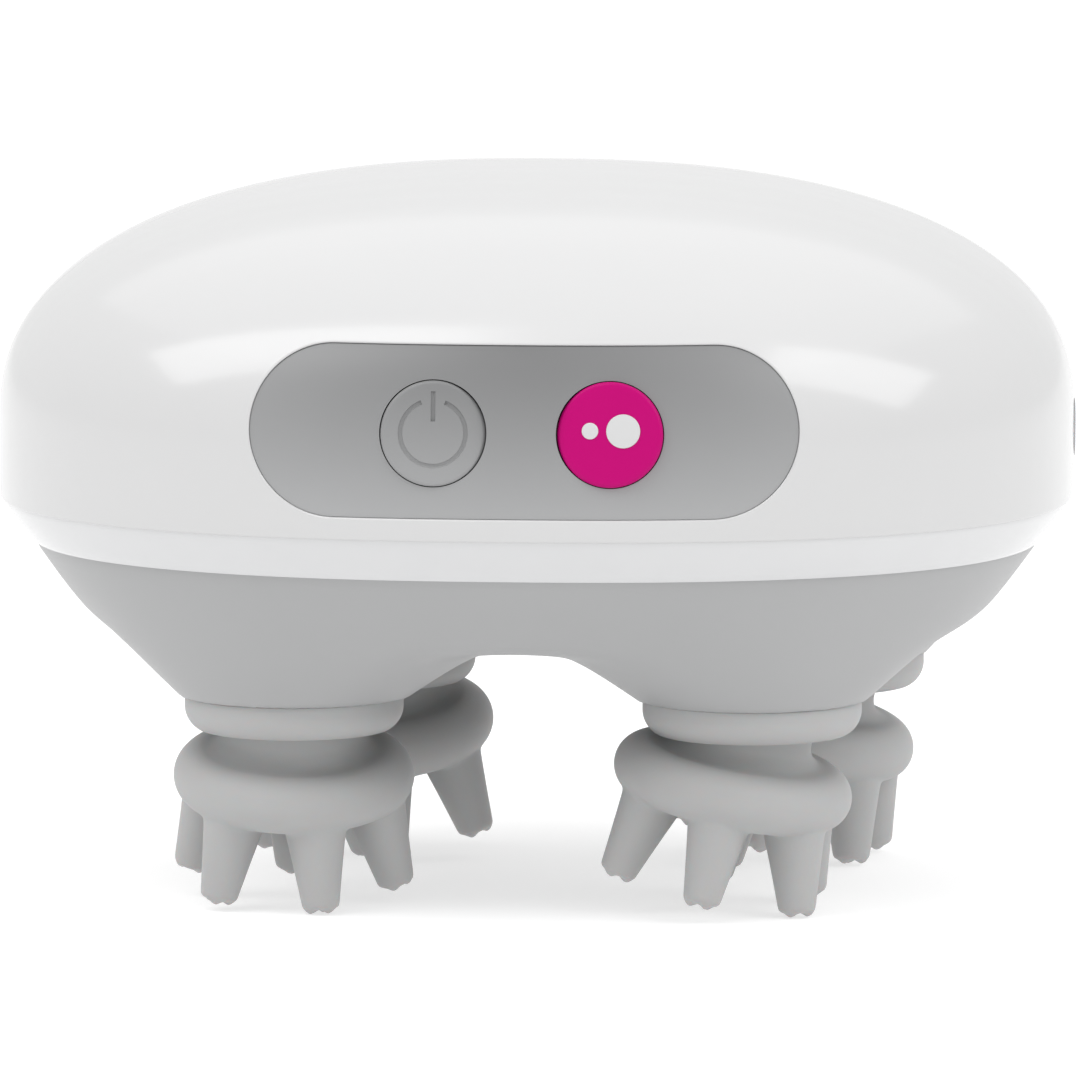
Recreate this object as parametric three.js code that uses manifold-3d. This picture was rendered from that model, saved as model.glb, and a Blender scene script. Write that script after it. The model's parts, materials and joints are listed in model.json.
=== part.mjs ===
// Cordless scalp massager brush with four kneading heads.
// Millimetres, +Z up, lowest fingertips at z = 0.
// The control panel is on the -Y side and +X is to its right.

import * as THREE from 'three';
import { mergeVertices } from 'three/addons/utils/BufferGeometryUtils.js';
import Module from 'manifold-3d';

const wasm = await Module();
wasm.setup();

// Casing
const HALF_WIDTH = 69.5;
const HALF_DEPTH = 57;
const TOP_Z = 93.5;
const WIDEST_Z = 61.3;
const SHELL_RIM_Z = 51.2;
const WALL = 2.2;
const PLAN_EXPONENT = 2.4;
const DOME_EXPONENT = 2.35;
const PLAN_SEGMENTS = 36;
const GAP = 0.3;

// Trim band, which slopes in under the top shell
const BAND_TOP_Z = SHELL_RIM_Z - GAP;
const BAND_LOW_Z = 45.7;
const BAND_SLOPE_IN = 4.2;
const BAND_THICKNESS = 3.4;
const SEAL_THICKNESS = 0.6;
const SEAL_HEIGHT = 1.5;

// Lower casing: a bowl with four legs
const LOWER_RIM_Z = BAND_LOW_Z - GAP;
const LOWER_INSET = BAND_SLOPE_IN + 0.4;
const ARCH_DEPTH = 10;
const LEG_DEPTH = 17.9;
const LEG_FOOT_RADIUS = 14.2;
const LEG_FLARE = 0.65;
const FLANK_SLOPE = 1.25;
const BLEND = 3;
const LEG_HOLE_RADIUS = 13.2;
const SCREW_POST_RADIUS = 3.6;

// Legs and heads
const MECHANISM_X = 2.6;
const LEG_X = 29.45;
const LEG_Y = 24.7;
const LEG_SKEW = 2.6;
const COLLAR_RADIUS = 14.05;
const COLLAR_LIP = 3.4;
const COLLAR_LOW_Z = 22.7;
const COLLAR_BORE_RADIUS = 10.8;
const SPIGOT_BORE_RADIUS = 11.4;
const SPIGOT_HEIGHT = 2.8;
const PIVOT_Z = 29.3;
const HEAD_TILT = THREE.MathUtils.degToRad(12);
const NECK_RADIUS = 9;
const NECK_TOP = 1;
const HEAD_HOLLOW_RADIUS = 7.3;
const HEAD_HOLLOW_END = 9.7;
const RING_RADIUS = 11.7;
const RING_TUBE = 3.8;
const RING_DROP = 12.8;
const FINGER_COUNT = 6;
const FINGER_CIRCLE = 9.9;
const FINGER_SPLAY = THREE.MathUtils.degToRad(16);
const FINGER_LENGTH = 14.15;
const FINGER_BASE_RADIUS = 3.9;
const FINGER_TIP_RADIUS = 2.1;
const CENTRE_FINGER_LENGTH = FINGER_LENGTH - 1.5;
const CORE_RADIUS = 7;
const CORE_BORE_RADIUS = 3;
const JOURNAL_RADIUS = 2.6;

// Gear train
const GEAR_TEETH = 24;
const SMALL_TEETH = 12;
const LARGE_TEETH = 28;
const PINION_TEETH = 10;
const FAST_MODULE = 1;
const PRESSURE_ANGLE = THREE.MathUtils.degToRad(20);
const ADDENDUM = 0.65;
const DEDENDUM = 1;
const BACKLASH = 0.3;
const GEAR_WIDTH = 3.5;
const TIER_Z = [47.3, 51.8];
const REDUCTION_ANGLE = THREE.MathUtils.degToRad(95);
const FAST_GEAR_Z = 58.9;
const FAST_GEAR_WIDTH = 2.5;

// Chassis
const CHASSIS_Z = 41.3;
const CHASSIS_THICKNESS = 2.5;
const CHASSIS_TOP = CHASSIS_Z + CHASSIS_THICKNESS;
const COVER_Z = 56.5;
const COVER_THICKNESS = 1.8;
const COVER_TOP = COVER_Z + COVER_THICKNESS;
const SHAFT_RADIUS = 3;
const SHAFT_FOOT_RADIUS = 5;
const BEARING_RADIUS = 5.3;
const BEARING_FLANGE_RADIUS = 7;
const REDUCTION_ARBOR_RADIUS = 2;
const PLATE_HALF_WIDTH = 47;
const CHASSIS_HALF_DEPTH = 45;
const COVER_HALF_DEPTH = 44;
const PLATE_EXPONENT = 3;
const SCREW_RADIUS = 1.4;
const SCREW_HOLE_RADIUS = 1.85;
const SCREW_HEAD_RADIUS = 2.7;
const SCREW_LOW_Z = 38;
const STANDOFFS = [[-40, 3], [43, -3], [0, -36], [15, 40.5]];

// Motor, battery and circuit board
const MOTOR_RADIUS = 12;
const MOTOR_BOSS_RADIUS = 4;
const MOTOR_BORE_RADIUS = 1.55;
const MOTOR_LOW_Z = 64.5;
const MOTOR_TOP_Z = 86.3;
const PINION_SHAFT_RADIUS = 1.2;
const BRACKET_HALF_WIDTH = 20;
const BRACKET_HALF_DEPTH = 8;
const BRACKET_THICKNESS = 1.6;
const CELL_RADIUS = 9.2;
const CELL_HALF_LENGTH = 32.5;
const CELL_Y = -21;
const CELL_Z = 70.6;
const CRADLE_HALF_WIDTH = 30;
const CRADLE_HALF_DEPTH = 11;
const BOARD_Y = -46.5;
const BOARD_THICKNESS = 1.6;
const BOARD_HALF_WIDTH = 26;
const BOARD_LOW_Z = 56;
const BOARD_TOP_Z = 75;
const SWITCH_HALF_SIZE = 3;
const SWITCH_DEPTH = 3.6;
const SWITCH_DROP = 0.7;

// Control panel, buttons and charging port
const PANEL_X = 2.3;
const PANEL_Z = 65;
const PANEL_WIDTH = 69.6;
const PANEL_HEIGHT = 21.7;
const PANEL_RECESS = 0.25;
const BUTTON_RADIUS = 6.7;
const BUTTON_SPACING = 22.4;
const BUTTON_FRONT_Y = -56.15;
const BUTTON_LEAN = THREE.MathUtils.degToRad(8);
const BUTTON_EDGE = 0.5;
const BUTTON_SKIRT = 3.6;
const STEM_RADIUS = 2;
const STEM_END = 5.1;
const DOTS = [['mode_dot_small', -2.5, 1.05], ['mode_dot_large', 1.7, 2.15]];
const DOT_RISE = 0.45;
const DOT_PROUD = 0.05;
const DOT_DEPTH = 0.7;
const PORT_Z = 60.1;
const PORT_RADIUS = 3.4;
const PORT_FACE_X = 69.3;
const SOCKET_RADIUS = 3.2;
const SOCKET_DEPTH = 12;

const LEGS = [
  { name: 'front_left', x: -LEG_X, y: -LEG_Y, tier: 1, leanDegrees: 96, fingerDegrees: -10 },
  { name: 'front_right', x: LEG_X, y: -LEG_Y, tier: 0, leanDegrees: 160, fingerDegrees: -32 },
  { name: 'back_left', x: -LEG_X, y: LEG_Y, tier: 0, leanDegrees: 74, fingerDegrees: -22 },
  { name: 'back_right', x: LEG_X, y: LEG_Y, tier: 1, leanDegrees: 165, fingerDegrees: -39 },
];
for (const leg of LEGS) {
  leg.x += MECHANISM_X + Math.sign(leg.y) * LEG_SKEW;
  leg.lean = THREE.MathUtils.degToRad(leg.leanDegrees);
  leg.direction = Math.atan2(leg.y, leg.x - MECHANISM_X);
  leg.distance = Math.hypot(leg.x - MECHANISM_X, leg.y);
}
const TIER_MODULE = [LEGS[1].distance / GEAR_TEETH, LEGS[0].distance / GEAR_TEETH];

const REDUCTION_DISTANCE = TIER_MODULE[1] * (GEAR_TEETH + SMALL_TEETH) / 2;
const REDUCTION_X = MECHANISM_X + REDUCTION_DISTANCE * Math.cos(REDUCTION_ANGLE);
const REDUCTION_Y = REDUCTION_DISTANCE * Math.sin(REDUCTION_ANGLE);
const PINION_DISTANCE = FAST_MODULE * (LARGE_TEETH + PINION_TEETH) / 2;
const MOTOR_X = MECHANISM_X;
const MOTOR_Y = REDUCTION_Y - Math.sqrt(PINION_DISTANCE ** 2 - (REDUCTION_X - MOTOR_X) ** 2);

const WHITE = { color: 0xeef0f1, roughness: 0.18, metalness: 0 };
const PEARL = { color: 0xe3e4e6, roughness: 0.28, metalness: 0.1 };
const GREY = { color: 0xb4b6b8, roughness: 0.5, metalness: 0 };
const SILICONE = { color: 0xc1c2c3, roughness: 0.75, metalness: 0 };
const PANEL_GREY = { color: 0xa3a5a7, roughness: 0.42, metalness: 0 };
const MAGENTA = { color: 0xd6087f, roughness: 0.35, metalness: 0 };
const NYLON = { color: 0xe6e2d6, roughness: 0.5, metalness: 0 };
const BLACK = { color: 0x222426, roughness: 0.6, metalness: 0 };
const STEEL = { color: 0xb9bcc0, roughness: 0.3, metalness: 1 };
const BRONZE = { color: 0xa9814a, roughness: 0.4, metalness: 1 };
const CELL_BLUE = { color: 0x2f5f9e, roughness: 0.4, metalness: 0 };
const BOARD_GREEN = { color: 0x1f6b3d, roughness: 0.5, metalness: 0 };

const group = new THREE.Group();

// Solids

function toSolid(geometry) {
  const bare = geometry.clone();
  bare.deleteAttribute('normal');
  bare.deleteAttribute('uv');
  const merged = mergeVertices(bare, 1e-4);
  const corners = merged.index.array;
  const triangles = [];
  for (let i = 0; i < corners.length; i += 3) {
    const [a, b, c] = [corners[i], corners[i + 1], corners[i + 2]];
    if (a !== b && b !== c && c !== a) {
      triangles.push(a, b, c);
    }
  }
  const vertProperties = new Float32Array(merged.attributes.position.array);
  const triVerts = new Uint32Array(triangles);
  return new wasm.Manifold(new wasm.Mesh({ numProp: 3, vertProperties, triVerts }));
}

function toGeometry(solid) {
  const mesh = solid.getMesh();
  const geometry = new THREE.BufferGeometry();
  geometry.setAttribute('position', new THREE.BufferAttribute(mesh.vertProperties, 3));
  geometry.setIndex(new THREE.BufferAttribute(mesh.triVerts, 1));
  geometry.computeVertexNormals();
  return geometry;
}

function addPiece(name, finish, solid) {
  const mesh = new THREE.Mesh(toGeometry(solid), new THREE.MeshStandardMaterial(finish));
  mesh.name = name;
  group.add(mesh);
}

// A body turned about the vertical axis at (x, y); the profile is a list of [radius, z].
function turned(profile, segments, x = 0, y = 0) {
  const points = profile.map(([radius, z]) => new THREE.Vector2(radius, z));
  const geometry = new THREE.LatheGeometry(points, segments);
  geometry.rotateX(Math.PI / 2);
  geometry.translate(x, y, 0);
  return toSolid(geometry);
}

function closedRing(section) {
  return [...section, section[0]];
}

function rod(radius, lowZ, highZ, segments, x = 0, y = 0) {
  return turned([[0, lowZ], [radius, lowZ], [radius, highZ], [0, highZ]], segments, x, y);
}

function tube(inner, outer, lowZ, highZ, segments, x = 0, y = 0) {
  const section = [[outer, lowZ], [outer, highZ], [inner, highZ], [inner, lowZ]];
  return turned(closedRing(section), segments, x, y);
}

function block([lowX, lowY, lowZ], [highX, highY, highZ]) {
  const geometry = new THREE.BoxGeometry(highX - lowX, highY - lowY, highZ - lowZ);
  geometry.translate((lowX + highX) / 2, (lowY + highY) / 2, (lowZ + highZ) / 2);
  return toSolid(geometry);
}

function extrudedUp(shape, lowZ, height) {
  const settings = { depth: height, bevelEnabled: false, curveSegments: 10 };
  const geometry = new THREE.ExtrudeGeometry(shape, settings);
  geometry.translate(0, 0, lowZ);
  return toSolid(geometry);
}

// Joins equal rings of points into one body: capped at both ends, or closed on itself.
function loft(rings, closesOnItself = false) {
  const count = rings[0].length;
  const positions = rings.flat().flatMap((point) => point.toArray());
  const index = [];
  const spans = closesOnItself ? rings.length : rings.length - 1;
  for (let span = 0; span < spans; span++) {
    const low = span * count;
    const high = ((span + 1) % rings.length) * count;
    for (let step = 0; step < count; step++) {
      const next = (step + 1) % count;
      index.push(low + step, low + next, high + next, low + step, high + next, high + step);
    }
  }
  if (!closesOnItself) {
    const last = (rings.length - 1) * count;
    for (let step = 1; step < count - 1; step++) {
      index.push(0, step + 1, step, last, last + step, last + step + 1);
    }
  }
  const geometry = new THREE.BufferGeometry();
  geometry.setAttribute('position', new THREE.Float32BufferAttribute(positions, 3));
  geometry.setIndex(index);
  return toSolid(geometry);
}

// Casing shapes

function signedPower(value, power) {
  return Math.sign(value) * Math.abs(value) ** power;
}

// The plan outline of the casing, moved in by an inset and scaled; heightAt gives z for each point.
function planRing(inset, scale, heightAt) {
  const ring = [];
  for (let step = 0; step < PLAN_SEGMENTS; step++) {
    const angle = step / PLAN_SEGMENTS * 2 * Math.PI;
    const x = (HALF_WIDTH - inset) * scale * signedPower(Math.cos(angle), 2 / PLAN_EXPONENT);
    const y = (HALF_DEPTH - inset) * scale * signedPower(Math.sin(angle), 2 / PLAN_EXPONENT);
    ring.push(new THREE.Vector3(x, y, heightAt(x, y)));
  }
  return ring;
}

function domeSolid(inset, rimZ) {
  const rings = [planRing(inset, 1, () => rimZ), planRing(inset, 1, () => WIDEST_Z)];
  const height = TOP_Z - WIDEST_Z - inset;
  for (const degrees of [16, 32, 46, 59, 71, 81]) {
    const angle = THREE.MathUtils.degToRad(degrees);
    const z = WIDEST_Z + height * Math.sin(angle) ** (2 / DOME_EXPONENT);
    rings.push(planRing(inset, Math.cos(angle) ** (2 / DOME_EXPONENT), () => z));
  }
  rings.push(planRing(inset, 0.04, () => WIDEST_Z + height));
  return loft(rings);
}

// A prism through the front of the casing in the outline of the control panel.
function pillPrism(margin) {
  const radius = PANEL_HEIGHT / 2 + margin;
  const straight = (PANEL_WIDTH - PANEL_HEIGHT) / 2;
  const shape = new THREE.Shape();
  shape.absarc(PANEL_X + straight, PANEL_Z, radius, -Math.PI / 2, Math.PI / 2, false);
  shape.absarc(PANEL_X - straight, PANEL_Z, radius, Math.PI / 2, 1.5 * Math.PI, false);
  const geometry = new THREE.ExtrudeGeometry(shape, { depth: 40, bevelEnabled: false, curveSegments: 10 });
  geometry.rotateX(Math.PI / 2);
  geometry.translate(0, -30, 0);
  return toSolid(geometry);
}

function smoothMax(a, b, blend) {
  return (a + b + Math.hypot(a - b, blend)) / 2;
}

function smoothMin(a, b, blend) {
  return (a + b - Math.hypot(a - b, blend)) / 2;
}

// How far the outside of the lower casing hangs below its rim at a point.
function lowerDepth(x, y) {
  const width = HALF_WIDTH - LOWER_INSET;
  const depth = HALF_DEPTH - LOWER_INSET;
  const across = Math.abs(x / width) ** PLAN_EXPONENT;
  const along = Math.abs(y / depth) ** PLAN_EXPONENT;
  const reach = (across + along) ** (1 / PLAN_EXPONENT);
  const fromEdge = Math.max(0, Math.hypot(x, y) * (1 / reach - 1));
  const blend = BLEND * Math.min(1, fromEdge / 6);
  let hang = smoothMin(ARCH_DEPTH, FLANK_SLOPE * fromEdge, blend);
  for (const leg of LEGS) {
    const beyond = Math.hypot(x - leg.x, y - leg.y) - LEG_FOOT_RADIUS;
    if (beyond <= 0) {
      return LEG_DEPTH;
    }
    const part = fromEdge / (fromEdge + beyond);
    const flank = LEG_DEPTH * part * (1.4 - 0.4 * part);
    const cone = LEG_DEPTH - LEG_FLARE * beyond;
    hang = smoothMax(hang, smoothMin(cone, flank, Math.min(blend, 0.3 * beyond)), blend);
  }
  return Math.min(LEG_DEPTH, Math.max(0, hang));
}

// Exterior

function addTopShell() {
  const hole = new THREE.CylinderGeometry(PORT_RADIUS + GAP, PORT_RADIUS + GAP, 20, 20);
  hole.rotateZ(Math.PI / 2);
  hole.translate(HALF_WIDTH, 0, PORT_Z);
  const shell = domeSolid(0, SHELL_RIM_Z).subtract(domeSolid(WALL, SHELL_RIM_Z - 1));
  addPiece('top_shell', WHITE, shell.subtract(pillPrism(GAP)).subtract(toSolid(hole)));
}

function addTrimBand() {
  const section = [
    [BAND_SLOPE_IN, BAND_LOW_Z],
    [0.3, BAND_TOP_Z],
    [0.3 + BAND_THICKNESS, BAND_TOP_Z],
    [BAND_SLOPE_IN + BAND_THICKNESS, BAND_LOW_Z],
  ];
  const rings = section.map(([inset, z]) => planRing(inset, 1, () => z));
  addPiece('trim_band', PEARL, loft(rings, true));
}

function addLowerShell() {
  const outerZ = (x, y) => LOWER_RIM_Z - lowerDepth(x, y);
  const innerZ = (x, y) => Math.min(LOWER_RIM_Z, outerZ(x, y) + WALL);
  const scales = [0.04, 0.2, 0.35, 0.48, 0.6, 0.71, 0.8, 0.87, 0.94];
  const rim = () => LOWER_RIM_Z;
  const rings = [
    ...scales.map((scale) => planRing(LOWER_INSET, scale, outerZ)),
    planRing(LOWER_INSET, 1, rim),
    planRing(LOWER_INSET + WALL, 1, rim),
    ...scales.slice(0, -1).reverse().map((scale) => planRing(LOWER_INSET, scale, innerZ)),
  ];
  const outerBody = loft(rings.slice(0, scales.length + 1));
  let shell = loft(rings);
  for (const [x, y] of STANDOFFS) {
    const post = rod(SCREW_POST_RADIUS, LOWER_RIM_Z - LEG_DEPTH, CHASSIS_Z - GAP, 16, x, y);
    shell = shell.add(post.intersect(outerBody));
    shell = shell.subtract(rod(SCREW_HOLE_RADIUS, SCREW_LOW_Z - 0.6, CHASSIS_Z + 1, 8, x, y));
  }
  const holeTop = LOWER_RIM_Z - LEG_DEPTH + 9;
  for (const leg of LEGS) {
    shell = shell.subtract(rod(LEG_HOLE_RADIUS, 20, holeTop, 24, leg.x, leg.y));
  }
  addPiece('lower_shell', GREY, shell);
}

function addCaseSeal() {
  const outer = WALL + GAP;
  const inner = outer + SEAL_THICKNESS;
  const top = SHELL_RIM_Z + SEAL_HEIGHT;
  const section = [[outer, SHELL_RIM_Z], [outer, top], [inner, top], [inner, SHELL_RIM_Z]];
  const rings = section.map(([inset, z]) => planRing(inset, 1, () => z));
  addPiece('case_seal', BLACK, loft(rings, true));
}

function addCollar(leg) {
  const top = LOWER_RIM_Z - LEG_DEPTH - GAP;
  const lip = [0, 30, 60, 90].map((degrees) => {
    const angle = THREE.MathUtils.degToRad(degrees);
    const radius = COLLAR_RADIUS - COLLAR_LIP * (1 - Math.sin(angle));
    return [radius, COLLAR_LOW_Z + COLLAR_LIP * (1 - Math.cos(angle))];
  });
  const section = [
    ...lip,
    [COLLAR_RADIUS, top],
    [LEG_HOLE_RADIUS - GAP, top],
    [LEG_HOLE_RADIUS - GAP, top + SPIGOT_HEIGHT],
    [SPIGOT_BORE_RADIUS, top + SPIGOT_HEIGHT],
    [COLLAR_BORE_RADIUS, COLLAR_LOW_Z + 1],
  ];
  addPiece(`collar_${leg.name}`, SILICONE, turned(closedRing(section), 20, leg.x, leg.y));
}

// Moves a solid made about the vertical axis to a leg's pivot, leaning with its journal.
function leant(solid, leg) {
  const axis = new THREE.Vector3(Math.sin(leg.lean), -Math.cos(leg.lean), 0);
  const turn = new THREE.Quaternion().setFromAxisAngle(axis, HEAD_TILT);
  const place = new THREE.Vector3(leg.x, leg.y, PIVOT_Z);
  const matrix = new THREE.Matrix4().compose(place, turn, new THREE.Vector3(1, 1, 1));
  return toSolid(toGeometry(solid).applyMatrix4(matrix));
}

function finger(radialAngle, circle, splay, length) {
  const sides = 6;
  const geometry = new THREE.CylinderGeometry(FINGER_BASE_RADIUS, FINGER_TIP_RADIUS, length, sides);
  geometry.rotateX(Math.PI / 2);
  geometry.translate(0, 0, -length / 2);
  geometry.rotateY(-splay);
  geometry.translate(circle, 0, -RING_DROP - 0.5);
  geometry.rotateZ(radialAngle);
  return toSolid(geometry);
}

function addHead(leg) {
  const ring = [135, 105, 75, 40, 5, -30, -60, -90].map((degrees) => {
    const angle = THREE.MathUtils.degToRad(degrees);
    return [RING_RADIUS + RING_TUBE * Math.cos(angle), -RING_DROP + RING_TUBE * Math.sin(angle)];
  });
  const profile = [
    [0, -HEAD_HOLLOW_END],
    [HEAD_HOLLOW_RADIUS, -HEAD_HOLLOW_END],
    [HEAD_HOLLOW_RADIUS, NECK_TOP],
    [NECK_RADIUS, NECK_TOP],
    ...ring,
    [0, -RING_DROP - RING_TUBE],
  ].reverse();
  let head = turned(profile, 20);
  for (let step = 0; step < FINGER_COUNT; step++) {
    const angle = THREE.MathUtils.degToRad(leg.fingerDegrees) + step * 2 * Math.PI / FINGER_COUNT;
    head = head.add(finger(angle, FINGER_CIRCLE, FINGER_SPLAY, FINGER_LENGTH));
  }
  head = head.add(finger(0, 0, 0, CENTRE_FINGER_LENGTH));
  addPiece(`head_${leg.name}`, SILICONE, leant(head, leg));
}

// Drive

// A gear outline with involute flanks; phase is the direction of its first tooth.
function gearShape(teeth, modulus, phase, flankSteps) {
  const pitch = teeth * modulus / 2;
  const base = pitch * Math.cos(PRESSURE_ANGLE);
  const tip = pitch + ADDENDUM * modulus;
  const root = pitch - DEDENDUM * modulus;
  const involute = (radius) => {
    const angle = Math.acos(Math.min(1, base / radius));
    return Math.tan(angle) - angle;
  };
  const halfTooth = Math.PI / (2 * teeth) - BACKLASH / (2 * pitch);
  const start = Math.max(base, root);
  const flank = [[root, start]];
  for (let step = 1; step < flankSteps; step++) {
    const radius = start + (tip - start) * (step - 1) / (flankSteps - 1);
    flank.push([radius, radius]);
  }
  flank.push([tip, tip]);
  const points = [];
  for (let tooth = 0; tooth < teeth; tooth++) {
    const centre = phase + tooth * 2 * Math.PI / teeth;
    const sides = flank.map(([radius, at]) => [radius, halfTooth + involute(pitch) - involute(at)]);
    for (const [radius, half] of sides) {
      points.push(new THREE.Vector2(radius * Math.cos(centre - half), radius * Math.sin(centre - half)));
    }
    for (const [radius, half] of sides.reverse()) {
      points.push(new THREE.Vector2(radius * Math.cos(centre + half), radius * Math.sin(centre + half)));
    }
  }
  return new THREE.Shape(points);
}

// Phase of a gear that lies in a direction from another, whose first tooth is at the given phase.
function meshedPhase(direction, phase, teeth, otherTeeth) {
  const pitch = 2 * Math.PI / teeth;
  const otherPitch = 2 * Math.PI / otherTeeth;
  return direction + Math.PI + pitch * (0.5 - (phase - direction) / otherPitch);
}

function addSunGear() {
  let gear = rod(6, TIER_Z[0] - 2, TIER_Z[1] + GEAR_WIDTH, 12);
  TIER_Z.forEach((z, tier) => {
    gear = gear.add(extrudedUp(gearShape(GEAR_TEETH, TIER_MODULE[tier], 0, 1), z, GEAR_WIDTH));
  });
  gear = gear.subtract(rod(SHAFT_RADIUS + GAP, 0, 100, 12));
  addPiece('sun_gear', NYLON, gear.translate([MECHANISM_X, 0, 0]));
  const arbor = turned([
    [0, CHASSIS_TOP + GAP],
    [SHAFT_FOOT_RADIUS, CHASSIS_TOP + GAP],
    [SHAFT_FOOT_RADIUS, CHASSIS_TOP + 1.2],
    [SHAFT_RADIUS, CHASSIS_TOP + 1.2],
    [SHAFT_RADIUS, COVER_TOP + 0.5],
    [0, COVER_TOP + 0.5],
  ], 12, MECHANISM_X, 0);
  addPiece('sun_arbor', STEEL, arbor);
}

function addSpindle(leg) {
  const gearZ = TIER_Z[leg.tier];
  const phase = meshedPhase(leg.direction, 0, GEAR_TEETH, GEAR_TEETH);
  const gear = extrudedUp(gearShape(GEAR_TEETH, TIER_MODULE[leg.tier], phase, 1), gearZ, GEAR_WIDTH);
  const shaft = turned([
    [0, PIVOT_Z + 4.5],
    [SHAFT_RADIUS, PIVOT_Z + 4.5],
    [SHAFT_RADIUS, CHASSIS_TOP + 2.3],
    [SHAFT_FOOT_RADIUS, CHASSIS_TOP + 2.3],
    [SHAFT_FOOT_RADIUS, gearZ + GEAR_WIDTH],
    [0, gearZ + GEAR_WIDTH],
  ], 12);
  const journal = leant(rod(JOURNAL_RADIUS, -9, 6.5, 12), leg);
  const spindle = gear.add(shaft).translate([leg.x, leg.y, 0]).add(journal);
  addPiece(`spindle_${leg.name}`, STEEL, spindle);
}

function addHeadCore(leg) {
  const core = tube(CORE_BORE_RADIUS, CORE_RADIUS, -9.2, 2.5, 12);
  addPiece(`head_core_${leg.name}`, NYLON, leant(core, leg));
}

function addLegBearing(leg) {
  const section = [
    [BEARING_RADIUS, CHASSIS_Z - 1.8],
    [BEARING_RADIUS, CHASSIS_TOP + GAP],
    [BEARING_FLANGE_RADIUS, CHASSIS_TOP + GAP],
    [BEARING_FLANGE_RADIUS, CHASSIS_TOP + 1.8],
    [SHAFT_RADIUS + GAP, CHASSIS_TOP + 1.8],
    [SHAFT_RADIUS + GAP, CHASSIS_Z - 1.8],
  ];
  addPiece(`leg_bearing_${leg.name}`, BRONZE, turned(closedRing(section), 12, leg.x, leg.y));
}

function addReductionGear() {
  const smallPhase = meshedPhase(REDUCTION_ANGLE, 0, SMALL_TEETH, GEAR_TEETH);
  const smallShape = gearShape(SMALL_TEETH, TIER_MODULE[1], smallPhase, 3);
  const small = extrudedUp(smallShape, TIER_Z[1], GEAR_WIDTH);
  const large = extrudedUp(gearShape(LARGE_TEETH, FAST_MODULE, 0, 1), FAST_GEAR_Z, FAST_GEAR_WIDTH);
  const top = FAST_GEAR_Z + FAST_GEAR_WIDTH;
  const hub = rod(4.6, TIER_Z[1], top, 12);
  const gear = small.add(large).add(hub).subtract(rod(REDUCTION_ARBOR_RADIUS + GAP, 0, 100, 12));
  addPiece('reduction_gear', NYLON, gear.translate([REDUCTION_X, REDUCTION_Y, 0]));
  const arbor = rod(REDUCTION_ARBOR_RADIUS, CHASSIS_TOP + GAP, top + 1, 12, REDUCTION_X, REDUCTION_Y);
  addPiece('reduction_arbor', STEEL, arbor);
}

function addMotorPinion() {
  const toMotor = Math.atan2(MOTOR_Y - REDUCTION_Y, MOTOR_X - REDUCTION_X);
  const phase = meshedPhase(toMotor, 0, PINION_TEETH, LARGE_TEETH);
  const shape = gearShape(PINION_TEETH, FAST_MODULE, phase, 3);
  const teeth = extrudedUp(shape, FAST_GEAR_Z - 0.2, FAST_GEAR_WIDTH + 0.5);
  const pinion = teeth.add(rod(PINION_SHAFT_RADIUS, FAST_GEAR_Z, MOTOR_LOW_Z + 2.8, 12));
  addPiece('motor_pinion', STEEL, pinion.translate([MOTOR_X, MOTOR_Y, 0]));
}

function addMotorCan() {
  const bossLow = MOTOR_LOW_Z - 1.6;
  const boreTop = MOTOR_LOW_Z + 3.3;
  const can = turned([
    [0, boreTop],
    [MOTOR_BORE_RADIUS, boreTop],
    [MOTOR_BORE_RADIUS, bossLow],
    [MOTOR_BOSS_RADIUS, bossLow],
    [MOTOR_BOSS_RADIUS, MOTOR_LOW_Z],
    [MOTOR_RADIUS, MOTOR_LOW_Z],
    [MOTOR_RADIUS, MOTOR_TOP_Z - 1.3],
    [MOTOR_RADIUS - 1, MOTOR_TOP_Z],
    [0, MOTOR_TOP_Z],
  ], 24, MOTOR_X, MOTOR_Y);
  addPiece('motor_can', STEEL, can);
}

// A bridge over the gear cover, open at the front and back, with a hole for the motor's boss.
function addMotorBracket() {
  const top = MOTOR_LOW_Z - GAP;
  const low = [MOTOR_X - BRACKET_HALF_WIDTH, MOTOR_Y - BRACKET_HALF_DEPTH, COVER_TOP + GAP];
  const high = [MOTOR_X + BRACKET_HALF_WIDTH, MOTOR_Y + BRACKET_HALF_DEPTH, top];
  const underLow = [low[0] + BRACKET_THICKNESS, low[1] - 1, low[2] - 1];
  const underHigh = [high[0] - BRACKET_THICKNESS, high[1] + 1, top - 1.5];
  const bossHole = rod(MOTOR_BOSS_RADIUS + 0.4, 60, 70, 16, MOTOR_X, MOTOR_Y);
  const bridge = block(low, high).subtract(block(underLow, underHigh)).subtract(bossHole);
  addPiece('motor_bracket', STEEL, bridge);
}

// Chassis and power

function plate(halfWidth, halfDepth, lowZ, thickness) {
  const points = [];
  const corners = 24;
  for (let step = 0; step < corners; step++) {
    const angle = step / corners * 2 * Math.PI;
    const x = halfWidth * signedPower(Math.cos(angle), 2 / PLATE_EXPONENT);
    const y = halfDepth * signedPower(Math.sin(angle), 2 / PLATE_EXPONENT);
    points.push(new THREE.Vector2(x, y));
  }
  return extrudedUp(new THREE.Shape(points), lowZ, thickness);
}

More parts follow.
